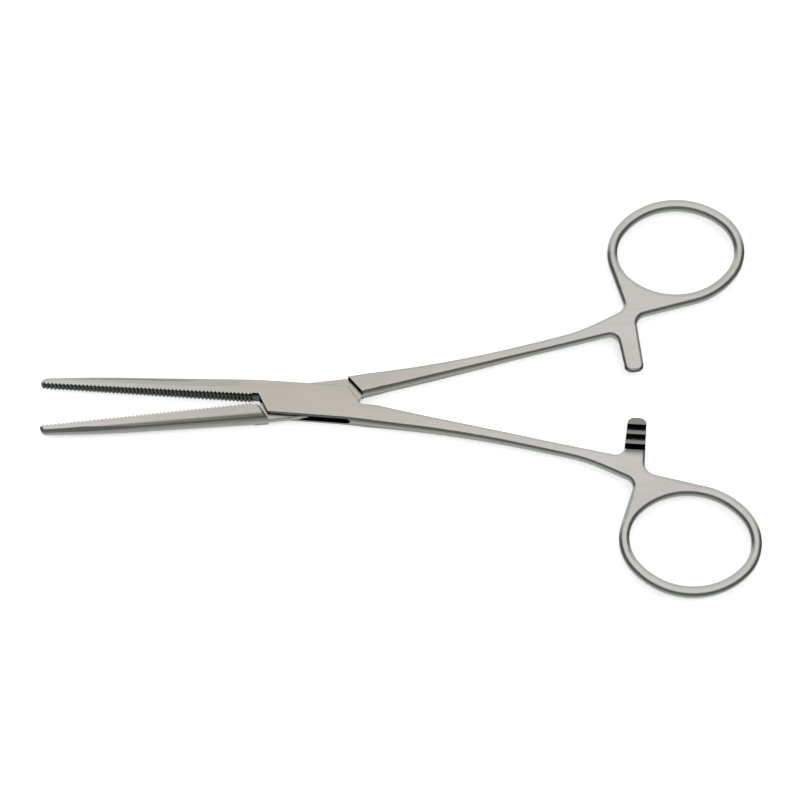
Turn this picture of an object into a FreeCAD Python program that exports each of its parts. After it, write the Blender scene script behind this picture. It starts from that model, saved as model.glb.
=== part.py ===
import FreeCAD, Part
import math
import os

from FreeCAD import Placement, Rotation, Vector

# Haemostatic forceps, straight, with a box lock, serrated jaws and a three-step ratchet.
#
# Each half is drawn in its own closed position: the rivet is at the origin, the jaw lies
# along -X with its gripping face on the XZ plane, the shank runs along +X and crosses to
# the other side of the axis, and the middle of the thickness is at Z = 0. The two halves
# are mirror images of each other about the XZ plane, apart from the lock and a small shift
# of the rings. Both are then turned open about the rivet and lifted, so that the underside
# of the lock is at Z = 0.

# name, millimetres or degrees, what it is
SIZES = [
    ("jaw_length", 60.2, "rivet to tip"),
    ("jaw_root_width", 3.62, "jaw at the lock, across"),
    ("jaw_mid_width", 2.62, "jaw where its back bends"),
    ("jaw_bend_place", 14.2, "tip to that bend"),
    ("jaw_tip_width", 1.5, "jaw at the tip, across"),
    ("jaw_tip_round", 1.4, "corner of the tip seen from above"),
    ("jaw_tip_thickness", 2.84, "jaw at the tip, up and down"),
    ("jaw_back_bend", 300.0, "radius of the jaw's back"),
    ("jaw_back_round", 1.0, "rounding along the jaw's back and round its tip"),
    ("jaw_fade_end", 3.0, "box front to where that rounding has faded"),
    ("tooth_pitch", 0.864, "serrations, crest to crest"),
    ("tooth_depth", 0.38, "depth of a serration"),
    ("tooth_land", 0.10, "flat on top of a serration"),
    ("tooth_mesh", 0.24, "how far the closed jaws' teeth enter each other"),
    ("relief_length", 1.45, "plain length between the last tooth and the lock"),
    ("relief_depth", 0.30, "how far that length stands back from the axis"),
    ("lock_thickness", 4.6, "box of the lock, up and down"),
    ("lock_front", 11.75, "rivet to the inner end of the box front"),
    ("lock_front_near", 9.35, "rivet to the outer end of the box front"),
    ("lock_near_width", 3.95, "axis to the near edge of the box, at its front"),
    ("lock_near_rear_width", 4.25, "the same at its rear"),
    ("lock_far_width", 3.45, "axis to the far edge of the box, at its rear"),
    ("lock_rear_far", 7.9, "rivet to the far end of the box rear"),
    ("lock_rear", 10.95, "rivet to the inner end of the box rear"),
    ("lock_corner_round", 0.8, "rear corner of the box, seen from above"),
    ("lock_rear_inner_round", 1.0, "the same at its inner end"),
    ("lock_edge_round", 0.35, "rounding along the edges of the box"),
    ("lock_front_bend", 60.0, "side profile from the jaw to the box, radius"),
    ("slot_height", 1.9, "slot through the box, up and down"),
    ("slot_side_clearance", 0.25, "tongue to the end walls of the slot"),
    ("tongue_clearance", 0.05, "tongue to each cheek"),
    ("tongue_front", 7.6, "rivet to the near end of the tongue's front edge"),
    ("tongue_rear", 8.3, "rivet to the far end of the tongue's rear edge"),
    ("tongue_rear_inner", 11.6, "rivet to the inner end of the tongue's rear edge"),
    ("tongue_rear_overlap", 0.35, "that end past the shank's inner edge"),
    ("shoulder_clearance", 0.1, "box front to the shoulder that meets it"),
    ("shoulder_lean", 0.3, "opening of that gap towards the outside"),
    ("shoulder_bevel", 0.5, "bevel on that shoulder"),
    ("rear_shoulder", 11.25, "rivet to the inner end of the shank's shoulder"),
    ("rear_shoulder_far", 8.6, "rivet to the outer end of the shank's shoulder"),
    ("rivet_diameter", 2.6, "rivet"),
    ("rivet_head_diameter", 3.4, "peened end of the rivet"),
    ("rivet_head_depth", 0.5, "depth of the countersink"),
    ("rivet_clearance", 0.04, "rivet to the bore of the tongue, on the radius"),
    ("shank_inner_start", 0.78, "axis to the shank's inner edge behind the lock"),
    ("shank_inner_bend", 14.5, "rivet to where that edge turns outwards"),
    ("shank_inner_round", 12.0, "radius of that turn"),
    ("shank_root_round", 60.0, "outer edge from the box to the shank, radius"),
    ("shank_bulge_place", 36.0, "rivet to the shallow bend of the outer edge"),
    ("shank_bulge", 6.16, "axis to that bend"),
    ("shank_bulge_round", 260.0, "radius of that bend"),
    ("shank_edge_round", 0.75, "rounding along the shank"),
    ("lock_run_out", 1.75, "box rear to where the shank starts to thin"),
    ("lock_run_out_bend", 12.0, "side profile there, radius"),
    ("shank_root_place", 18.0, "rivet to the shank's root"),
    ("shank_root_thickness", 4.05, "shank at its root, up and down"),
    ("shank_root_bend", 60.0, "side profile there, radius"),
    ("shank_level_place", 52.0, "rivet to where the shank stops thinning"),
    ("shank_level_bend", 300.0, "side profile there, radius"),
    ("handle_thickness", 3.04, "web, ratchet and ring, up and down"),
    ("bar_place", 72.1, "rivet to the middle of the ratchet bar"),
    ("bar_width", 4.2, "ratchet bar, along the shank"),
    ("bar_reach", 0.85, "bar past the axis"),
    ("bar_root", 9.2, "axis to the foot of the bar"),
    ("bar_root_spread", 0.65, "foot of the bar towards the shank, along the shank"),
    ("bar_root_round", 2.0, "fillet between shank and bar"),
    ("bar_lean", 0.1, "front of the bar at its tip, back from its foot"),
    ("bar_tip_round", 1.7, "corners of the bar"),
    ("ratchet_pitch", 2.36, "ratchet teeth"),
    ("ratchet_depth", 0.85, "ratchet teeth"),
    ("ratchet_crest", 0.28, "crest above the middle of the thickness"),
    ("ratchet_first", 1.05, "axis to the first locking face"),
    ("ratchet_face_lean", 0.35, "lean of a locking face, from foot to crest"),
    ("web_bend", 11.1, "bar to where the shank's outer edge turns down"),
    ("web_bend_width", 10.25, "axis to that turn"),
    ("web_bend_round", 38.0, "radius of that turn"),
    ("web_neck", 12.75, "axis to the corner between bar and ring"),
    ("web_neck_inset", 0.2, "that corner in from the back of the bar"),
    ("web_neck_round", 2.8, "fillet in that corner"),
    ("crotch_width", 14.7, "axis to the corner between shank and ring"),
    ("crotch_offset", 0.1, "bar to that corner"),
    ("crotch_round", 2.4, "fillet in that corner"),
    ("ring_place", 12.85, "bar to the middle of the finger ring"),
    ("ring_shift", 0.36, "box half's ring forward of that, and the other one back"),
    ("ring_drop", 27.85, "axis to the middle of the finger ring"),
    ("ring_length", 26.55, "finger hole, along"),
    ("ring_height", 21.6, "finger hole, across"),
    ("ring_width", 2.24, "band of the ring, seen from above"),
    ("ring_edge_round", 1.0, "rounding of the band"),
    ("open_angle", 9.76, "angle between the gripping faces as it lies"),
]
TEETH = 3
NEAR = 0.05  # an edge this close to a line lies on it
UPRIGHT = 0.1  # upward part of the normal of a wall, at most
LEVEL = 0.9  # the same of an upper or lower surface, at least
MARGIN = 2.0  # cuts through the lock reach this far past it
CUTTER_SLOPE = 0.75  # run of the ratchet cutter's back, for each millimetre of height


def fill_sheet(doc):
    sheet = doc.addObject("Spreadsheet::Sheet", "Sizes")
    for row, (name, value, note) in enumerate(SIZES, 1):
        sheet.set("A%d" % row, name)
        sheet.set("B%d" % row, str(value))
        sheet.set("C%d" % row, note)
        sheet.setAlias("B%d" % row, name)
    doc.recompute()
    return sheet


def size(name):
    return float(sheet.get(name))


# Curves

def rounded_outline(corners):
    """Closed outline through corners (x, y, radius), with a tangent arc in each corner."""
    ends = []
    for i, (x, y, radius) in enumerate(corners):
        corner = Vector(x, y, 0)
        before = Vector(*corners[i - 1][:2], 0)
        after = Vector(*corners[(i + 1) % len(corners)][:2], 0)
        if radius == 0:
            ends.append((corner, None, corner))
            continue
        back = (before - corner).normalize()
        ahead = (after - corner).normalize()
        half = back.getAngle(ahead) / 2
        reach = radius / math.tan(half)
        middle = corner + (back + ahead).normalize() * (radius / math.sin(half) - radius)
        ends.append((corner + back * reach, middle, corner + ahead * reach))
    curves = []
    for i, (start, middle, end) in enumerate(ends):
        if middle is not None:
            curves.append(Part.Arc(start, middle, end))
        following = ends[(i + 1) % len(ends)][0]
        if (following - end).Length > 1e-6:
            curves.append(Part.LineSegment(end, following))
    return curves


def polygon(points):
    return rounded_outline([(x, y, 0) for x, y in points])


def ring_arcs(offset, side):
    """Oval of four arcs: the finger hole, or the outside of its band."""
    centre, ends, sides = ring_centres(side, side)
    length = size("ring_length") / 2 - ring_end_radius()
    drop = ring_side_radius() - size("ring_height") / 2
    join = math.atan2(drop, length)
    end_radius = ring_end_radius() + offset
    side_radius = ring_side_radius() + offset
    spans = [
        (ends[1], end_radius, -join, join),
        (sides[0], side_radius, join, math.pi - join),
        (ends[0], end_radius, math.pi - join, math.pi + join),
        (sides[1], side_radius, math.pi + join, 2 * math.pi - join),
    ]
    return [arc_about(*span) for span in spans]


def arc_about(centre, radius, start, end):
    at = [centre + Vector(math.cos(a), math.sin(a), 0) * radius
          for a in (start, (start + end) / 2, end)]
    return Part.Arc(*at)


def ring_end_radius():
    """Radius that an ellipse of the same length and height has at its ends."""
    return size("ring_height") ** 2 / size("ring_length") / 2


def ring_side_radius():
    half_length = size("ring_length") / 2
    half_height = size("ring_height") / 2
    end = ring_end_radius()
    reach = half_length - end
    return (reach ** 2 + half_height ** 2 - end ** 2) / (2 * (half_height - end))


def ring_centres(side, half):
    """Middle of a half's ring, centres of its two ends, and of its upper and lower side."""
    x = size("bar_place") + size("ring_place") - half * size("ring_shift")
    middle = Vector(x, -side * size("ring_drop"), 0)
    reach = size("ring_length") / 2 - ring_end_radius()
    drop = ring_side_radius() - size("ring_height") / 2
    ends = (middle - Vector(reach, 0, 0), middle + Vector(reach, 0, 0))
    sides = (middle - Vector(0, drop, 0), middle + Vector(0, drop, 0))
    return middle, ends, sides


def tangent_point(start, centre, radius, turn):
    """Where a line from start touches a circle, on the side that turn names."""
    line = start - centre
    angle = math.atan2(line.y, line.x) + turn * math.acos(radius / line.Length)
    return centre + Vector(math.cos(angle), math.sin(angle), 0) * radius


# Outlines, drawn for side = 1 and mirrored for the other half. half is the half's own side.

def jaw_bend():
    """Place of the bend in the jaw's back."""
    return size("jaw_bend_place") - size("jaw_length")


def jaw_outline():
    """From the lock along the gripping face, round the tip and back along the outside."""
    length = size("jaw_length")
    face = -size("tooth_mesh") / 2
    relief = size("relief_depth")
    relief_end = -size("lock_front") - size("relief_length")
    return [
        (relief_end, relief, 0),
        (relief_end, face, 0),
        (-length, face, 0),
        (-length, size("jaw_tip_width"), size("jaw_tip_round")),
        (jaw_bend(), size("jaw_mid_width"), size("jaw_back_bend")),
        (-size("lock_front"), size("jaw_root_width"), size("jaw_back_bend") / 2),
    ]


def handle_outline(half):
    """From the lock along the inner edge, round the ratchet bar, the web and back."""
    bar = size("bar_place")
    half_bar = size("bar_width") / 2
    foot = bar - half_bar - size("bar_root_spread")
    neck = Vector(bar + half_bar - size("web_neck_inset"), -size("web_neck"), 0)
    crotch = Vector(bar + size("crotch_offset"), -size("crotch_width"), 0)
    middle, ends, sides = ring_centres(1, half)
    band = size("ring_width")
    top = tangent_point(neck, sides[0], ring_side_radius() + band, -1)
    left = tangent_point(crotch, ends[0], ring_end_radius() + band, 1)
    return [
        (size("shank_inner_bend"), -size("shank_inner_start"), size("shank_inner_round")),
        (foot, -size("bar_root"), size("bar_root_round")),
        (bar - half_bar + size("bar_lean"), size("bar_reach"), size("bar_tip_round")),
        (bar + half_bar, size("bar_reach"), size("bar_tip_round")),
        (neck.x, neck.y, size("web_neck_round")),
        (top.x, top.y, 0),
        (middle.x, middle.y, 0),
        (left.x, left.y, 0),
        (crotch.x, crotch.y, size("crotch_round")),
        (bar - size("web_bend"), -size("web_bend_width"), size("web_bend_round")),
        (size("shank_bulge_place"), -size("shank_bulge"), size("shank_bulge_round")),
        (size("lock_rear_far"), -size("lock_near_rear_width"), size("shank_root_round")),
    ]


def box_outline():
    """Half with the slot: the cheeks reach from edge to edge of the lock."""
    jaw = jaw_outline()
    handle = handle_outline(1)
    rear = [
        (size("lock_rear_far"), size("lock_far_width"), size("lock_corner_round")),
        (size("lock_rear"), -size("shank_inner_start"), size("lock_rear_inner_round")),
    ]
    front = [
        (-size("lock_front_near"), -size("lock_near_width"), 0),
        (-size("lock_front"), size("relief_depth"), 0),
    ]
    return jaw + rear + handle + front


def tongue_corners():
    """Ends of the tongue's front edge, then of its rear edge."""
    inner = size("tongue_rear_overlap") - size("shank_inner_start")
    front = [
        (-size("lock_front") - size("shoulder_clearance"), size("relief_depth")),
        (-size("tongue_front"), -size("lock_near_width") - size("shoulder_clearance")),
    ]
    rear = [
        (size("tongue_rear"), size("jaw_root_width")),
        (size("tongue_rear_inner"), inner),
    ]
    return front, rear


def tongue_outline():
    """Half with the tongue: cut back along the two walls that the slot ends in."""
    front, rear = tongue_corners()
    jaw = jaw_outline()
    handle = handle_outline(-1)
    back = [(*rear[0], size("lock_corner_round")), (*rear[1], size("lock_rear_inner_round"))]
    return jaw + back + handle + [(*front[1], 0), (*front[0], 0)]


def side_profile():
    """Upper surface seen from the side, from the tip to the ring, where it is level."""
    margin = 1.5
    lock = size("lock_thickness") / 2
    root = size("shank_root_thickness") / 2
    level = size("handle_thickness") / 2
    end = size("bar_place") + size("ring_place") + size("ring_length") / 2
    end += size("ring_shift") + size("ring_width") + margin
    return [
        (-size("jaw_length") - margin, size("jaw_tip_thickness") / 2, 0),
        (-size("lock_front"), lock, size("lock_front_bend")),
        (size("lock_rear") + size("lock_run_out"), lock, size("lock_run_out_bend")),
        (size("shank_root_place"), root, size("shank_root_bend")),
        (size("shank_level_place"), level, size("shank_level_bend")),
        (end, level, 0),
    ]


# Bodies and features

def origin_plane(body, role):
    return [f for f in body.Origin.OriginFeatures if f.Role == role][0]


def add_sketch(body, name, curves, plane="XY_Plane", lift=0.0):
    sketch = body.newObject("Sketcher::SketchObject", name)
    sketch.AttachmentSupport = [(origin_plane(body, plane), "")]
    sketch.MapMode = "FlatFace"
    sketch.AttachmentOffset = Placement(Vector(0, 0, lift), Rotation())
    sketch.addGeometry(curves, False)
    return sketch


def mirrored(corners, side):
    return [(x, side * y, *rest) for x, y, *rest in corners]


def add_pad(body, name, sketch, length):
    pad = body.newObject("PartDesign::Pad", name)
    pad.Profile = sketch
    pad.SideType = "Symmetric"
    pad.setExpression("Length", length)
    pad.Refine = True
    return pad


def add_pocket(body, name, sketch, length=None):
    """Cut on both sides of the sketch: through all, or over a length."""
    pocket = body.newObject("PartDesign::Pocket", name)
    pocket.Profile = sketch
    pocket.SideType = "Symmetric"
    if length is None:
        pocket.Type = "ThroughAll"
    else:
        pocket.Type = "Length"
        pocket.setExpression("Length", length)
    pocket.Refine = True
    return pocket


def forge_blank(doc, name, outline, side):
    """Outline and finger ring at full thickness, thinned to the side profile."""
    body = doc.addObject("PartDesign::Body", name)
    sketch = add_sketch(body, name + "_outline", rounded_outline(mirrored(outline, side)))
    add_pad(body, name + "_bar", sketch, "Sizes.lock_thickness")
    band = add_sketch(body, name + "_band", ring_arcs(size("ring_width"), side))
    add_pad(body, name + "_ring", band, "Sizes.lock_thickness")
    hole = add_sketch(body, name + "_finger", ring_arcs(0, side))
    add_pocket(body, name + "_finger_hole", hole)
    above = side_profile()
    over = size("lock_thickness")
    curves = []
    for up in (1, -1):
        loop = above + [(above[-1][0], over, 0), (above[0][0], over, 0)]
        curves += rounded_outline([(x, up * z, r) for x, z, r in loop])
    profile = add_sketch(body, name + "_side", curves, "XZ_Plane")
    add_pocket(body, name + "_thinned", profile)
    doc.recompute()
    return body


def between(place, start, end, first, last):
    share = min(1, max(0, (place - start) / (end - start)))
    return first + (last - first) * share


def edge_round(point, in_finger_hole, side):
    """Rounding at a point of the long edges: it fades from the jaw's back to the lock."""
    x = point.x
    y = point.y * side
    lock = size("lock_edge_round")
    shank = size("shank_edge_round")
    bar = size("bar_place")
    if in_finger_hole:
        return size("ring_edge_round")
    if x < size("lock_rear"):
        faded = -size("lock_front") - size("jaw_fade_end")
        return between(x, jaw_bend() / 2, faded, size("jaw_back_round"), lock)
    if x < bar - size("web_bend"):
        return between(x, size("lock_rear"), 2 * size("lock_rear"), lock, shank)
    in_crotch = y > -size("crotch_width") - size("crotch_round") / 2
    if in_crotch and x < bar + size("ring_place") / 2:
        return shank
    return size("ring_edge_round")


def is_long_edge(shape, edge):
    """An edge between an upright wall and the upper or lower surface."""
    tilt = []
    for face in shape.ancestorsOfType(edge, Part.Face):
        u0, u1, v0, v1 = face.ParameterRange
        tilt.append(abs(face.normalAt((u0 + u1) / 2, (v0 + v1) / 2).z))
    return len(tilt) == 2 and min(tilt) < UPRIGHT and max(tilt) > LEVEL


def round_edges(doc, name, blank, front, side):
    """Round the long edges, apart from the gripping face and the front of the lock."""
    shape = blank.Shape
    (x0, y0), (x1, y1) = front
    middle = ring_centres(side, side)[0]
    band = size("ring_width") / 2
    chosen = []
    for number, edge in enumerate(shape.Edges, 1):
        if not is_long_edge(shape, edge):
            continue
        at = edge.valueAt((edge.FirstParameter + edge.LastParameter) / 2)
        y = at.y * side
        gripping = at.x < -size("lock_front") and y < size("relief_depth") + NEAR
        along = (y - y0) / (y1 - y0)
        at_front = 0 <= along <= 1 and abs(at.x - x0 - (x1 - x0) * along) < NEAR
        if gripping or at_front:
            continue
        reach_x = (at.x - middle.x) / (size("ring_length") / 2 + band)
        reach_y = (at.y - middle.y) / (size("ring_height") / 2 + band)
        in_hole = math.hypot(reach_x, reach_y) < 1
        radii = [edge_round(v.Point, in_hole, side) for v in edge.Vertexes]
        if edge.Orientation == "Reversed":
            radii.reverse()
        chosen.append((number, radii[0], radii[-1]))
    rounded = doc.addObject("Part::Fillet", name)
    rounded.Base = blank
    rounded.Edges = chosen
    doc.recompute()
    return rounded


def start_half(doc, name, rounded):
    body = doc.addObject("PartDesign::Body", name)
    body.Label = name
    body.BaseFeature = rounded
    doc.recompute()
    return body


def cut_serrations(doc, body, name, side, first_groove):
    """V grooves straight across the gripping face, from the tip to the relief."""
    pitch = size("tooth_pitch")
    face = -size("tooth_mesh") / 2
    half = (pitch - size("tooth_land")) / 2
    over = 0.1
    spread = half * (1 + over / size("tooth_depth"))
    x = -size("jaw_length") + first_groove * pitch
    groove = [(x - spread, face - over), (x + spread, face - over),
              (x, face + size("tooth_depth"))]
    sketch = add_sketch(body, name + "_groove", polygon(mirrored(groove, side)))
    pocket = add_pocket(body, name + "_serration", sketch)
    doc.recompute()
    toothed = size("jaw_length") - size("lock_front") - size("relief_length")
    pattern = body.newObject("PartDesign::LinearPattern", name + "_serrations")
    pattern.Originals = [pocket]
    pattern.Direction = (origin_plane(body, "X_Axis"), [""])
    count = int(toothed / pitch - first_groove + 0.5) + 1
    pattern.Occurrences = count
    pattern.Length = (count - 1) * pitch
    pattern.Refine = True
    body.Tip = pattern
    doc.recompute()
    return pattern


def cut_ratchet(doc, body, name, side, up):
    """Sawtooth across the bar: gentle ramps rise from the tip, steep faces hold."""
    depth = size("ratchet_depth")
    pitch = size("ratchet_pitch")
    crest = size("ratchet_crest")
    lean = size("ratchet_face_lean")
    first = -size("ratchet_first")
    slope = depth / (pitch - lean)
    over = 1.0
    tip = size("bar_reach") + over
    clear = size("lock_thickness")
    points = [(tip, clear), (tip, crest - slope * (tip - first))]
    for tooth in range(TEETH):
        y = first - tooth * pitch
        points.append((y, crest))
        points.append((y - lean, crest - depth))
    surface = size("handle_thickness") / 2
    run_out = points[-1][0] - (surface - crest + depth) * CUTTER_SLOPE
    points.append((run_out, surface))
    points.append((run_out, clear))
    curves = polygon([(side * y, up * z) for y, z in points])
    sketch = add_sketch(body, name + "_teeth", curves, "YZ_Plane", size("bar_place"))
    pocket = add_pocket(body, name + "_ratchet", sketch, "Sizes.bar_width * 2")
    doc.recompute()
    return pocket


def rivet_profile(radius, head_radius, head_depth, reach):
    """Half section of the rivet, in the XZ plane: a shaft with a flare at each end."""
    return [(0, -reach), (head_radius, -reach), (radius, -reach + head_depth),
            (radius, reach - head_depth), (head_radius, reach), (0, reach)]


def female_half(doc):
    """Half with the box: two cheeks with a slot between them, and the rivet's seats."""
    side = 1
    outline = box_outline()
    blank = forge_blank(doc, "box_blank", outline, side)
    front = [outline[-2][:2], outline[-1][:2]]
    rounded = round_edges(doc, "box_rounded", blank, front, side)
    body = start_half(doc, "female_half", rounded)
    front_wall = slot_wall(0, size("slot_side_clearance"))
    end_round = size("slot_height") / 2
    half_tongue = end_round - size("tongue_clearance")
    beside_tongue = math.sqrt(end_round ** 2 - half_tongue ** 2)
    rear_wall = slot_wall(1, size("slot_side_clearance") - beside_tongue)
    far = size("jaw_root_width") + MARGIN
    near = size("lock_near_rear_width") + MARGIN
    opening = [extend(front_wall, far), extend(rear_wall, far), extend(rear_wall, -near),
               (-size("lock_front") - MARGIN, -near), extend(front_wall, -size("relief_depth"))]
    slot = add_sketch(body, "lock_slot_plan", polygon(opening))
    add_pocket(body, "lock_slot", slot, "Sizes.slot_height")
    doc.recompute()
    end = Part.Circle(Vector(0, 0, 0), Vector(0, 0, 1), size("slot_height") / 2)
    cut_along(doc, body, "lock_slot_end", rear_wall, [end])
    reach = size("lock_thickness") / 2
    section = rivet_profile(size("rivet_diameter") / 2, size("rivet_head_diameter") / 2,
                            size("rivet_head_depth"), reach)
    seat = add_sketch(body, "rivet_seat_section", polygon(section), "XZ_Plane")
    groove = body.newObject("PartDesign::Groove", "rivet_seat")
    groove.Profile = seat
    groove.ReferenceAxis = (seat, ["V_Axis"])
    groove.Angle = 360
    doc.recompute()
    cut_ratchet(doc, body, "box", side, 1)
    cut_serrations(doc, body, "box", side, 0)
    return body


def slot_wall(which, gap):
    """Line beside the closed tongue's front (0) or rear (1) edge, moved out by a gap."""
    (x0, y0), (x1, y1) = tongue_corners()[which]
    start = Vector(x0, -y0, 0)
    end = Vector(x1, -y1, 0)
    along = (end - start).normalize()
    out = Vector(-along.y, along.x, 0)
    if out.dot(start) < 0:
        out = -out
    return [((p + out * gap).x, (p + out * gap).y) for p in (start, end)]


def extend(wall, y):
    """Point of the wall's line at the given distance from the axis."""
    (x0, y0), (x1, y1) = wall
    return (x0 + (x1 - x0) * (y - y0) / (y1 - y0), y)


def cut_along(doc, body, name, line, section):
    """Cut with a section that is drawn across a line of the lock and runs along it."""
    (x0, y0), (x1, y1) = line
    turn = math.degrees(math.atan2(y1 - y0, x1 - x0))
    sketch = add_sketch(body, name + "_section", section, "YZ_Plane")
    middle = Vector((y0 + y1) / 2, 0, (x0 + x1) / 2)
    sketch.AttachmentOffset = Placement(middle, Rotation(Vector(0, 1, 0), turn))
    add_pocket(body, name, sketch, "4 * Sizes.lock_near_rear_width")
    doc.recompute()


def bevel_section(width, height):
    """Corners cut off above and below, where a shoulder meets the surfaces at a height."""
    over = 0.2
    corner = [(over, height + over), (-width - over, height + over),
              (over, height - width - over)]
    return polygon(corner) + polygon([(s, -z) for s, z in corner])


def male_half(doc):
    """Half with the tongue: thinned between two shoulders to pass through the slot."""
    side = -1
    outline = tongue_outline()
    blank = forge_blank(doc, "tongue_blank", outline, side)
    front = [outline[-2][:2], outline[-1][:2]]
    rounded = round_edges(doc, "tongue_rounded", blank, front, side)
    body = start_half(doc, "male_half", rounded)
    clearance = size("shoulder_clearance")
    jaw = ((-size("lock_front") - clearance, size("relief_depth")),
           (-size("lock_front_near") - clearance - size("shoulder_lean"), size("lock_near_width")))
    shank = ((size("rear_shoulder"), size("tongue_rear_overlap") - size("shank_inner_start")),
             (size("rear_shoulder_far"), -size("lock_near_rear_width")))
    over = 0.5
    far = size("jaw_root_width") + MARGIN
    near = size("lock_near_rear_width") + MARGIN
    beside = (size("tongue_rear_inner") + MARGIN, far)
    plan = [extend(jaw, size("relief_depth") - over), extend(jaw, far), beside,
            extend(shank, over), extend(shank, -near), (jaw[0][0], -near)]
    half_tongue = size("slot_height") / 2 - size("tongue_clearance")
    for up, name in ((1, "upper"), (-1, "lower")):
        sketch = add_sketch(body, "tongue_%s_plan" % name, polygon(mirrored(plan, side)),
                            "XY_Plane", up * (half_tongue + size("lock_thickness") / 2))
        add_pocket(body, "tongue_%s" % name, sketch, "Sizes.lock_thickness")
    doc.recompute()
    bevel = bevel_section(size("shoulder_bevel"), size("lock_thickness") / 2)
    cut_along(doc, body, "shoulder_bevelled", mirrored(jaw, side), bevel)
    bore = add_sketch(body, "rivet_bore_plan", [Part.Circle(
        Vector(0, 0, 0), Vector(0, 0, 1), size("rivet_diameter") / 2 + size("rivet_clearance"))])
    add_pocket(body, "rivet_bore", bore)
    doc.recompute()
    cut_ratchet(doc, body, "tongue", side, -1)
    cut_serrations(doc, body, "tongue", side, 0.5)
    return body


def pivot_rivet(doc):
    body = doc.addObject("PartDesign::Body", "pivot_rivet")
    reach = size("lock_thickness") / 2
    section = rivet_profile(size("rivet_diameter") / 2, size("rivet_head_diameter") / 2,
                            size("rivet_head_depth"), reach)
    sketch = add_sketch(body, "rivet_section", polygon(section), "XZ_Plane")
    turned = body.newObject("PartDesign::Revolution", "rivet")
    turned.Profile = sketch
    turned.ReferenceAxis = (sketch, ["V_Axis"])
    turned.Angle = 360
    doc.recompute()
    return body


def place(body, turn):
    """Open the half about the rivet and lift it onto the table."""
    body.setExpression("Placement.Base.z", "Sizes.lock_thickness / 2")
    if turn:
        body.setExpression("Placement.Rotation.Angle", "%d * Sizes.open_angle / 2" % abs(turn))
        body.setExpression("Placement.Rotation.Axis.z", "%d" % turn)


def check(doc, parts):
    for obj in doc.Objects:
        if "Invalid" in obj.State or "Error" in obj.State:
            raise RuntimeError("%s did not build: %s" % (obj.Name, obj.State))
    for part in parts:
        shape = part.Shape
        if shape.isNull() or not shape.isValid() or len(shape.Solids) != 1:
            raise RuntimeError("%s is not one valid solid" % part.Label)
        print("%s: %.1f mm3, %d faces" % (part.Label, shape.Volume, len(shape.Faces)))


doc = FreeCAD.newDocument("forceps")
sheet = fill_sheet(doc)
parts = [female_half(doc), male_half(doc), pivot_rivet(doc)]
for part, turn in zip(parts, (-1, 1, 0)):
    place(part, turn)
doc.recompute()
check(doc, parts)
os.makedirs("parts", exist_ok=True)
for part in parts:
    part.Shape.exportStep("parts/%s.step" % part.Label)
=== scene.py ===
import math

import bmesh
import bpy
from mathutils import Matrix, Vector

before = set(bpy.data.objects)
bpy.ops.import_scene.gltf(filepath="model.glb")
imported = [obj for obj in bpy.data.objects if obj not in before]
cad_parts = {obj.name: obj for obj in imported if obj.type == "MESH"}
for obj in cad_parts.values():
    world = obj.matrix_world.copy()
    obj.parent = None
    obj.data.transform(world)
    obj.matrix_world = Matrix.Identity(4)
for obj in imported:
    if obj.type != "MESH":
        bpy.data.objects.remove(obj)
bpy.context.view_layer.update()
mm = 0.001


# Nodes

def noiseNode(tree, coords, scale, stretch, detail):
    mapping = tree.nodes.new("ShaderNodeMapping")
    mapping.inputs["Scale"].default_value = stretch
    tree.links.new(coords, mapping.inputs["Vector"])
    noise = tree.nodes.new("ShaderNodeTexNoise")
    noise.inputs["Scale"].default_value = scale
    noise.inputs["Detail"].default_value = detail
    tree.links.new(mapping.outputs["Vector"], noise.inputs["Vector"])
    return noise.outputs["Fac"]


def rampNode(tree, value, low, high, start=0.0, end=1.0):
    ramp = tree.nodes.new("ShaderNodeValToRGB")
    elements = ramp.color_ramp.elements
    elements[0].color, elements[1].color = low, high
    elements[0].position, elements[1].position = start, end
    tree.links.new(value, ramp.inputs["Fac"])
    return ramp.outputs["Color"]


def rangeNode(tree, value, start, end, low=0.0, high=1.0, kind="LINEAR"):
    node = tree.nodes.new("ShaderNodeMapRange")
    node.interpolation_type = kind
    node.inputs["From Min"].default_value = start
    node.inputs["From Max"].default_value = end
    node.inputs["To Min"].default_value = low
    node.inputs["To Max"].default_value = high
    tree.links.new(value, node.inputs["Value"])
    return node.outputs["Result"]


def smoothStep(tree, value, start, end):
    return rangeNode(tree, value, start, end, kind="SMOOTHSTEP")


def mathNode(tree, operation, first, second=0.0):
    node = tree.nodes.new("ShaderNodeMath")
    node.operation = operation
    for socket, value in zip(node.inputs, (first, second)):
        if isinstance(value, float):
            socket.default_value = value
        else:
            tree.links.new(value, socket)
    return node.outputs["Value"]


def absNode(tree, value):
    return mathNode(tree, "ABSOLUTE", value)


def signNode(tree, value):
    return mathNode(tree, "SIGN", value)


def allOf(tree, *masks):
    product = masks[0]
    for mask in masks[1:]:
        product = mathNode(tree, "MULTIPLY", product, mask)
    return product


def mostOf(tree, *masks):
    most = masks[0]
    for mask in masks[1:]:
        most = mathNode(tree, "MAXIMUM", most, mask)
    return most


def splitNode(tree, vector):
    split = tree.nodes.new("ShaderNodeSeparateXYZ")
    tree.links.new(vector, split.inputs["Vector"])
    return split.outputs


def vectorNode(tree, operation, *vectors):
    node = tree.nodes.new("ShaderNodeVectorMath")
    node.operation = operation
    for socket, vector in zip(node.inputs, vectors):
        tree.links.new(vector, socket)
    return node.outputs["Vector"]


def turnNode(tree, vector, angle):
    turned = tree.nodes.new("ShaderNodeVectorRotate")
    turned.rotation_type = "Z_AXIS"
    turned.inputs["Angle"].default_value = angle
    tree.links.new(vector, turned.inputs["Vector"])
    return turned.outputs["Vector"]


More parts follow.
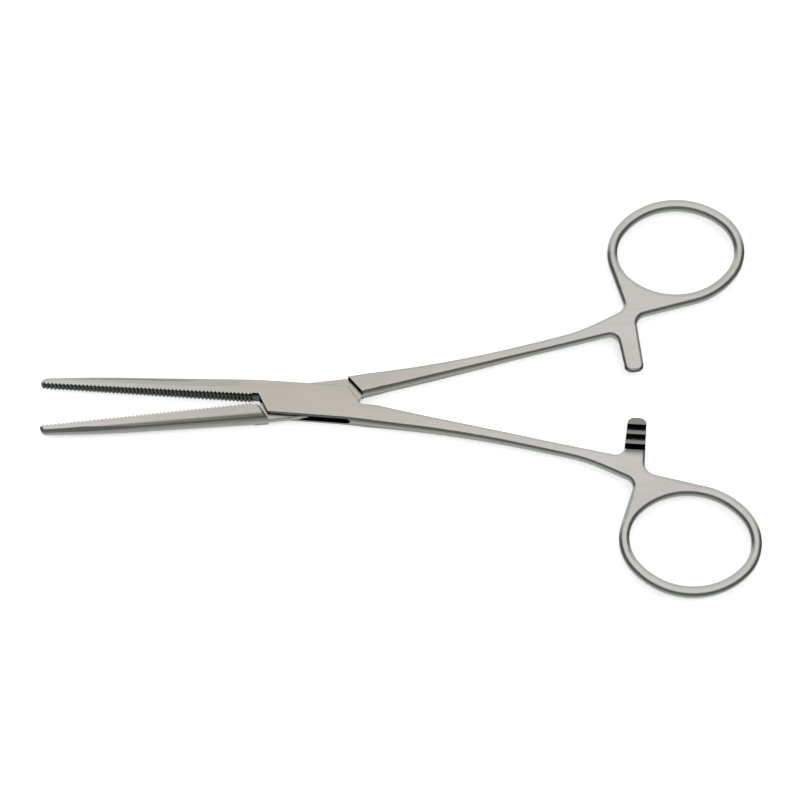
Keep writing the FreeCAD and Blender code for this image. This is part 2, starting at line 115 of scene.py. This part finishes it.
def mixNode(tree, mask, below, color, blend="MIX"):
    mix = tree.nodes.new("ShaderNodeMixRGB")
    mix.blend_type = blend
    mix.inputs["Color2"].default_value = color
    tree.links.new(mask, mix.inputs["Fac"])
    if isinstance(below, tuple):
        mix.inputs["Color1"].default_value = below
    else:
        tree.links.new(below, mix.inputs["Color1"])
    return mix.outputs["Color"]


def newMaterial(name):
    material = bpy.data.materials.new(name)
    material.use_nodes = True
    tree = material.node_tree
    return material, tree, tree.nodes["Principled BSDF"]


# The two halves. Places are in a half's own frame, closed: x from the rivet, y from the
# gripping plane. A lean is how much of a normal points along an axis.
# side is 1 for the half with the box, -1 for the half with the tongue and 0 for the rivet.

halves = {
    "opening": math.radians(4.88),    # turn of each half from closed to the photo's pose
    "middle": 2.3 * mm,               # height of the middle of the thickness
    "polishFrom": 12.0 * mm,          # duller up to here, measured both ways from the rivet
    "polishTo": 65.0 * mm,
    "uprightLean": 0.6,               # a wall's normal leans up or down by less
    "leanSoft": 0.1,
    "edgeSoft": 0.02 * mm,
}


# 1 above an edge and 0 below it, with a smooth step as wide as the softness to each side
def aboveMask(tree, value, edge, soft=halves["edgeSoft"]):
    return smoothStep(tree, value, edge - soft, edge + soft)


def belowMask(tree, value, edge, soft=halves["edgeSoft"]):
    return mathNode(tree, "SUBTRACT", 1.0, aboveMask(tree, value, edge, soft))


def bandMask(tree, value, low, high, soft=halves["edgeSoft"]):
    above = aboveMask(tree, value, low, soft)
    return mathNode(tree, "SUBTRACT", above, aboveMask(tree, value, high, soft))


serrations = {
    "start": -11.8 * mm,
    "depth": 0.36 * mm,    # their walls reach this far from the gripping plane
    "grooveShineShade": 0.5,       # share of the shine that the painted shade takes out of them
}


# The walls of the serrations, which get painted shade: close to the gripping plane, and not
# facing up or down
def gripMask(tree, place, upright):
    band = bandMask(tree, place["Y"], -serrations["depth"], serrations["depth"])
    jaw = belowMask(tree, place["X"], serrations["start"])
    return allOf(tree, band, jaw, upright)


lock = {
    "reach": 13.0 * mm,         # all of it lies within this of the rivet
    "slotEnd": 8.4 * mm,
    "slotEndSoft": 0.2 * mm,
    "slotLip": 1.25 * mm,       # slot and the painted shade along its edge, up and down from the middle
    "slotLipSoft": 0.08 * mm,
    "tongueHalf": 0.93 * mm,    # a little over half the tongue's thickness
    "tongueEnd": 9.0 * mm,
    "tongueSide": 1.0 * mm,
    "tongueSideSoft": 0.5 * mm,
    "endFrom": 8.0 * mm,        # the box's front and the shoulders lie past this
    "endLean": -0.5,
}


# Painted shade in the slot and on the front wall of the box
def boxMask(tree, place, facing, height, along, upright):
    level = belowMask(tree, height, lock["slotLip"], lock["slotLipSoft"])
    inside = aboveMask(tree, along, -lock["slotEnd"], lock["slotEndSoft"])
    forward = belowMask(tree, facing["X"], lock["endLean"], halves["leanSoft"])
    ahead = belowMask(tree, place["X"], -lock["endFrom"])
    return mostOf(tree, allOf(tree, level, inside), allOf(tree, forward, ahead, upright))


# Painted shade on the tongue's sides and the shoulders at its two ends
def tongueMask(tree, place, facing, height, along, upright):
    fromRivet = absNode(tree, place["X"])
    level = belowMask(tree, height, lock["tongueHalf"])
    amid = belowMask(tree, fromRivet, lock["tongueEnd"])
    beside = belowMask(tree, along, lock["tongueSide"], lock["tongueSideSoft"])
    inwards = mathNode(tree, "MULTIPLY", signNode(tree, place["X"]), facing["X"])
    backwards = belowMask(tree, inwards, lock["endLean"], halves["leanSoft"])
    beyond = aboveMask(tree, fromRivet, lock["endFrom"])
    return mostOf(tree, allOf(tree, level, beside, amid, upright),
                  allOf(tree, backwards, beyond, upright))


# Painted shade on the walls inside the lock
def lockMask(tree, place, facing, height, upright, side):
    squares = [mathNode(tree, "POWER", place[axis], 2.0) for axis in ("X", "Y")]
    reach = mathNode(tree, "SQRT", mathNode(tree, "ADD", *squares))
    near = belowMask(tree, reach, lock["reach"])
    along = mathNode(tree, "MULTIPLY", signNode(tree, place["Y"]), place["X"])
    walls = boxMask if side > 0 else tongueMask
    return allOf(tree, near, walls(tree, place, facing, height, along, upright))


ratchet = {
    "bar": 72.1 * mm,
    "barHalf": 2.5 * mm,
    "barSoft": 0.2 * mm,
    "teethStart": 0.5 * mm,
    "teethEnd": 6.4 * mm,
    "rampStart": -2.0 * mm,
    "gapStart": 6.1 * mm,      # the gap behind the last tooth
    "gapEnd": 7.7 * mm,
    "shadeStart": 7.3 * mm,    # where the gap runs out into the bar
    "shadeEnd": 9.6 * mm,
    "holdingLean": 0.7,
    "gapLean": -0.6,
    "rampLean": -0.25,
    "levelLean": 0.9,
    "leanSoft": 0.05,
    "rampDark": 0.5,
    "shadeDark": 0.85,
}


# Painted shade on the ratchet's holding faces and ramps, in the gap behind the last tooth and on
# the bar past it
def ratchetMask(tree, place, facing, side):
    soft = ratchet["leanSoft"]
    outward = mathNode(tree, "MULTIPLY", place["Y"], -side)
    holding = mathNode(tree, "MULTIPLY", facing["Y"], -side)
    toothed = mathNode(tree, "MULTIPLY", facing["Z"], side)
    teeth = allOf(tree, aboveMask(tree, holding, ratchet["holdingLean"], soft),
                  bandMask(tree, outward, ratchet["teethStart"], ratchet["teethEnd"]))
    gap = allOf(tree, belowMask(tree, holding, ratchet["gapLean"], soft),
                bandMask(tree, outward, ratchet["gapStart"], ratchet["gapEnd"]))
    ramps = allOf(tree, bandMask(tree, holding, ratchet["gapLean"], ratchet["rampLean"], soft),
                  bandMask(tree, outward, ratchet["rampStart"], ratchet["teethEnd"]),
                  ratchet["rampDark"])
    level = aboveMask(tree, toothed, ratchet["levelLean"], soft)
    passed = smoothStep(tree, outward, ratchet["shadeStart"], ratchet["shadeEnd"])
    beyond = aboveMask(tree, outward, ratchet["gapEnd"])
    hollow = allOf(tree, level, mathNode(tree, "SUBTRACT", 1.0, passed), beyond,
                   ratchet["shadeDark"])
    fromBar = absNode(tree, mathNode(tree, "SUBTRACT", place["X"], ratchet["bar"]))
    bar = belowMask(tree, fromBar, ratchet["barHalf"], ratchet["barSoft"])
    return allOf(tree, bar, mostOf(tree, teeth, gap, ramps, hollow))


crown = {
    "jawRoot": -12.5 * mm,
    "jawTip": -60.2 * mm,
    "jawWidths": (3.62 * mm, 1.9 * mm),    # at the root and at the tip
    "jawLean": 0.85,                       # how far the jaw's back is rounded off
    "bendFrom": 0.3,                       # shares of the jaw's width
    "bendTo": 0.8,
    "fadeFrom": -30.5 * mm,                # the box half's crown fades from here to the root
    "shoulder": -12.3 * mm,                # the tongue half's ends at its slanted shoulder
    "shoulderSlant": 0.61,
    "shoulderSoft": 0.1 * mm,
    "wallLean": 0.35,                      # swell of the upright walls
    "wallReach": 1.3 * mm,
}


# How much of the crown is left along a jaw
def crownFade(tree, place, side):
    if side > 0:
        faded = smoothStep(tree, place["X"], crown["fadeFrom"], crown["jawRoot"])
        return mathNode(tree, "SUBTRACT", 1.0, faded)
    slant = mathNode(tree, "MULTIPLY", absNode(tree, place["Y"]), crown["shoulderSlant"])
    along = mathNode(tree, "SUBTRACT", place["X"], slant)
    return belowMask(tree, along, crown["shoulder"], crown["shoulderSoft"])


# Normals that lean as on a hand-ground back: outwards along the jaw, up and down on the walls
def crownedNormal(tree, place, outside, rise, side):
    width = rangeNode(tree, place["X"], crown["jawRoot"], crown["jawTip"], *crown["jawWidths"])
    share = mathNode(tree, "DIVIDE", absNode(tree, place["Y"]), width)
    bend = smoothStep(tree, share, crown["bendFrom"], crown["bendTo"])
    swell = mathNode(tree, "DIVIDE", rise, crown["wallReach"])
    swell = mathNode(tree, "MAXIMUM", mathNode(tree, "MINIMUM", swell, 1.0), -1.0)
    joined = tree.nodes.new("ShaderNodeCombineXYZ")
    lean = allOf(tree, bend, crownFade(tree, place, side), crown["jawLean"] * side)
    tree.links.new(lean, joined.inputs["Y"])
    tree.links.new(allOf(tree, swell, crown["wallLean"]), joined.inputs["Z"])
    tilt = turnNode(tree, joined.outputs["Vector"], -side * halves["opening"])
    return vectorNode(tree, "NORMALIZE", vectorNode(tree, "ADD", outside, tilt))


satinSteel = {
    "dark": (0.49, 0.472, 0.453, 1),
    "light": (0.57, 0.55, 0.528, 1),
    "toneFrom": 0.35,                      # span of the noise that goes from dark to light
    "toneTo": 0.65,
    "roughLow": 0.20,
    "roughHigh": 0.28,
    "roughFrom": 0.3,
    "roughTo": 0.7,
    "cloudScale": 45.0,                    # slow unevenness of the finish, per metre
    "cloudDetail": 4,
    "brushScale": 700.0,                   # brush marks, drawn out along the instrument
    "brushStretch": (0.06, 1, 1),
    "brushDetail": 6,
    "grainScale": 900.0,                   # fine blasted grain
    "grainDetail": 3,
    "bump": 0.04,
    "bumpDepth": 0.02 * mm,
    "ground": (0.905, 0.885, 0.845, 1),    # darkens the lock, which is less polished
    "cut": (0.18, 0.20, 0.18, 1),          # painted shade in the serrations' grooves
    "corner": (0.012, 0.012, 0.011, 1),    # painted shadow on the ratchet and the walls inside the lock
}


# Adds a half's duller lock, the painted shade on the serrations, lock walls and ratchet, which
# also takes out their shine, and crowned normals, and returns its colour
def markHalf(tree, look, coords, color, shader, bump, side):
    place = splitNode(tree, turnNode(tree, coords, side * halves["opening"]))
    outside = tree.nodes.new("ShaderNodeTexCoord").outputs["Normal"]
    facing = splitNode(tree, outside)
    upright = bandMask(tree, facing["Z"], -halves["uprightLean"], halves["uprightLean"],
                       halves["leanSoft"])
    rise = mathNode(tree, "SUBTRACT", splitNode(tree, coords)["Z"], halves["middle"])
    polish = smoothStep(tree, absNode(tree, place["X"]), halves["polishFrom"], halves["polishTo"])
    unpolished = mathNode(tree, "SUBTRACT", 1.0, polish)
    color = mixNode(tree, unpolished, color, look["ground"], "MULTIPLY")
    grip = gripMask(tree, place, upright)
    # painted shade in the serrations' grooves
    color = mixNode(tree, grip, color, look["cut"])
    # painted shadow on the lock walls and the ratchet
    dark = mostOf(tree, lockMask(tree, place, facing, absNode(tree, rise), upright, side),
                  ratchetMask(tree, place, facing, side))
    shineShade = mostOf(tree, dark, allOf(tree, grip, serrations["grooveShineShade"]))
    # the painted shade also takes the shine out of these faces
    glint = mixNode(tree, shineShade, (1, 1, 1, 1), (0, 0, 0, 1))
    tree.links.new(glint, shader.inputs["Specular Tint"])
    toWorld = tree.nodes.new("ShaderNodeVectorTransform")
    toWorld.vector_type = "NORMAL"
    toWorld.convert_from = "OBJECT"
    toWorld.convert_to = "WORLD"
    tree.links.new(crownedNormal(tree, place, outside, rise, side), toWorld.inputs["Vector"])
    tree.links.new(toWorld.outputs["Vector"], bump.inputs["Normal"])
    # the painted shadow goes on over the colour
    return mixNode(tree, dark, color, look["corner"])


def makeSteel(name, look, side):
    material, tree, shader = newMaterial(name)
    coords = tree.nodes.new("ShaderNodeTexCoord").outputs["Object"]
    cloud = noiseNode(tree, coords, look["cloudScale"], (1, 1, 1), look["cloudDetail"])
    brush = noiseNode(tree, coords, look["brushScale"], look["brushStretch"], look["brushDetail"])
    grain = noiseNode(tree, coords, look["grainScale"], (1, 1, 1), look["grainDetail"])
    streaks = mathNode(tree, "MULTIPLY", mathNode(tree, "ADD", cloud, brush), 0.5)
    color = rampNode(tree, streaks, look["dark"], look["light"], look["toneFrom"], look["toneTo"])
    bump = tree.nodes.new("ShaderNodeBump")
    bump.inputs["Strength"].default_value = look["bump"]
    bump.inputs["Distance"].default_value = look["bumpDepth"]
    tree.links.new(mathNode(tree, "ADD", brush, grain), bump.inputs["Height"])
    if side:
        color = markHalf(tree, look, coords, color, shader, bump, side)
    rough = rangeNode(tree, brush, look["roughFrom"], look["roughTo"],
                      look["roughLow"], look["roughHigh"])
    tree.links.new(color, shader.inputs["Base Color"])
    tree.links.new(rough, shader.inputs["Roughness"])
    tree.links.new(bump.outputs["Normal"], shader.inputs["Normal"])
    shader.inputs["Metallic"].default_value = 1.0
    return material


rivetLook = dict(satinSteel, dark=(0.45, 0.425, 0.39, 1), light=(0.52, 0.49, 0.45, 1),
                 brushStretch=(1, 0.06, 1))
finishOf = {
    "female_half": makeSteel("boxHalfSteel", satinSteel, 1.0),
    "male_half": makeSteel("tongueHalfSteel", satinSteel, -1.0),
    "pivot_rivet": makeSteel("rivetSteel", rivetLook, 0.0),
}
print("materials made")


# The solids keep their meshes and get the finishes

for node, material in finishOf.items():
    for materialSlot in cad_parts[node].material_slots:
        materialSlot.material = material
print("pieces dressed")


# Floor, light and camera

floorLook = {
    "size": 6.0,
    "drop": 0.02 * mm,    # below the instrument's underside
    "color": (0.9, 0.9, 0.9, 1),
    "roughness": 0.9,
    "lift": 0.50,         # brings it up to white for the camera alone
}


def makeFloor():
    work = bmesh.new()
    bmesh.ops.create_grid(work, x_segments=1, y_segments=1, size=floorLook["size"] / 2)
    mesh = bpy.data.meshes.new("floorMesh")
    work.to_mesh(mesh)
    work.free()
    floor = bpy.data.objects.new("floor", mesh)
    bpy.context.scene.collection.objects.link(floor)
    floor.location = (0, 0, -floorLook["drop"])
    material, tree, shader = newMaterial("floorWhite")
    shader.inputs["Base Color"].default_value = floorLook["color"]
    shader.inputs["Roughness"].default_value = floorLook["roughness"]
    shader.inputs["Specular IOR Level"].default_value = 0.0
    shader.inputs["Emission Color"].default_value = (1, 1, 1, 1)
    path = tree.nodes.new("ShaderNodeLightPath")
    lift = mathNode(tree, "MULTIPLY", path.outputs["Is Camera Ray"], floorLook["lift"])
    tree.links.new(lift, shader.inputs["Emission Strength"])
    # Mirrored, the table is part of the surroundings below
    clear = tree.nodes.new("ShaderNodeBsdfTransparent")
    mix = tree.nodes.new("ShaderNodeMixShader")
    tree.links.new(path.outputs["Is Glossy Ray"], mix.inputs["Fac"])
    tree.links.new(shader.outputs["BSDF"], mix.inputs[1])
    tree.links.new(clear.outputs["BSDF"], mix.inputs[2])
    tree.links.new(mix.outputs["Shader"], tree.nodes["Material Output"].inputs["Surface"])
    mesh.materials.append(material)


# Strengths, and the parts of a direction between which each one comes up to full
room = {
    "tint": (0.91, 1.0, 0.96, 1),
    "softboxTint": (1.0, 0.995, 0.985, 1),
    "dim": 0.14,
    "softbox": 1.12,             # overhead
    "softboxSpan": (0.74, 0.88),
    "table": 0.80,               # the lit table beside a piece
    "tableSpan": (0.25, 1.25),
    "backWall": 0.95,            # behind the table
    "backSpan": (0.42, 0.64),
    "front": 0.20,               # the camera's side of the room
    "frontSpan": (0.3, 0.9),
}


# What the steel mirrors: softbox overhead, lit table below, walls behind and in front, dim room
def roomLight(tree, towards, above):
    below = mathNode(tree, "MULTIPLY", towards["Z"], -1.0)
    front = mathNode(tree, "MULTIPLY", towards["Y"], -1.0)
    parts = [
        (above, room["softbox"]),
        (smoothStep(tree, below, *room["tableSpan"]), room["table"]),
        (smoothStep(tree, towards["Y"], *room["backSpan"]), room["backWall"]),
        (smoothStep(tree, front, *room["frontSpan"]), room["front"]),
    ]
    lifts = [mathNode(tree, "MULTIPLY", part, light - room["dim"]) for part, light in parts]
    return mathNode(tree, "ADD", mostOf(tree, *lifts), room["dim"])


def makeSky():
    world = bpy.data.worlds.new("studioSky")
    world.use_nodes = True
    bpy.context.scene.world = world
    tree = world.node_tree
    tree.nodes.clear()
    output = tree.nodes.new("ShaderNodeOutputWorld")
    towards = splitNode(tree, tree.nodes.new("ShaderNodeTexCoord").outputs["Generated"])
    above = smoothStep(tree, towards["Z"], *room["softboxSpan"])
    lit = tree.nodes.new("ShaderNodeBackground")
    tint = rampNode(tree, above, room["tint"], room["softboxTint"])
    tree.links.new(tint, lit.inputs["Color"])
    tree.links.new(roomLight(tree, towards, above), lit.inputs["Strength"])
    seen = tree.nodes.new("ShaderNodeBackground")
    seen.inputs["Color"].default_value = (1, 1, 1, 1)
    path = tree.nodes.new("ShaderNodeLightPath")
    mix = tree.nodes.new("ShaderNodeMixShader")
    tree.links.new(path.outputs["Is Camera Ray"], mix.inputs["Fac"])
    tree.links.new(lit.outputs["Background"], mix.inputs[1])
    tree.links.new(seen.outputs["Background"], mix.inputs[2])
    tree.links.new(mix.outputs["Shader"], output.inputs["Surface"])


softboxes = {
    "places": {"leftSoftbox": (-0.9, -0.1, 0.8), "rightSoftbox": (0.9, -0.1, 0.8)},
    "aim": (0.02, 0, 0),
    "width": 0.5,
    "power": 2.5,
}


def makeSoftbox(name, place):
    lamp = bpy.data.lights.new(name, "AREA")
    lamp.shape = "SQUARE"
    lamp.size = softboxes["width"]
    lamp.energy = softboxes["power"]
    obj = bpy.data.objects.new(name, lamp)
    obj.location = place
    aim = Vector(softboxes["aim"]) - Vector(place)
    obj.rotation_euler = aim.to_track_quat("-Z", "Y").to_euler()
    obj.visible_glossy = False    # the room stands in for what the steel mirrors
    bpy.context.scene.collection.objects.link(obj)


photoCamera = {
    "target": (19.58 * mm, 0.96 * mm, 0),
    "distance": 735 * mm,
    "elevation": math.radians(66),
    "turn": math.radians(1.25),    # the instrument lies turned a little in the picture
    "pixelsPerMm": 4.5,
    "imageWidth": 800,
    "sensorWidth": 36,
    "clipEnd": 20,
}


def makeCamera():
    look = photoCamera
    turn, elevation = look["turn"], look["elevation"]
    right = Vector((math.cos(turn), -math.sin(turn), 0))
    level = Vector((-math.sin(turn), -math.cos(turn), 0))
    back = level * math.cos(elevation) + Vector((0, 0, math.sin(elevation)))
    up = back.cross(right)
    camera = bpy.data.cameras.new("photoCamera")
    camera.sensor_width = look["sensorWidth"]
    focalPixels = look["pixelsPerMm"] * look["distance"] / mm
    camera.lens = focalPixels / look["imageWidth"] * camera.sensor_width
    camera.clip_end = look["clipEnd"]
    obj = bpy.data.objects.new("photoCamera", camera)
    place = Vector(look["target"]) + back * look["distance"]
    axes = Matrix((right, up, back)).transposed().to_4x4()
    obj.matrix_world = Matrix.Translation(place) @ axes
    bpy.context.scene.collection.objects.link(obj)
    bpy.context.scene.camera = obj


makeFloor()
makeSky()
makeCamera()
for name, place in softboxes["places"].items():
    makeSoftbox(name, place)
bpy.context.scene.view_settings.view_transform = "Standard"
print("studio ready")
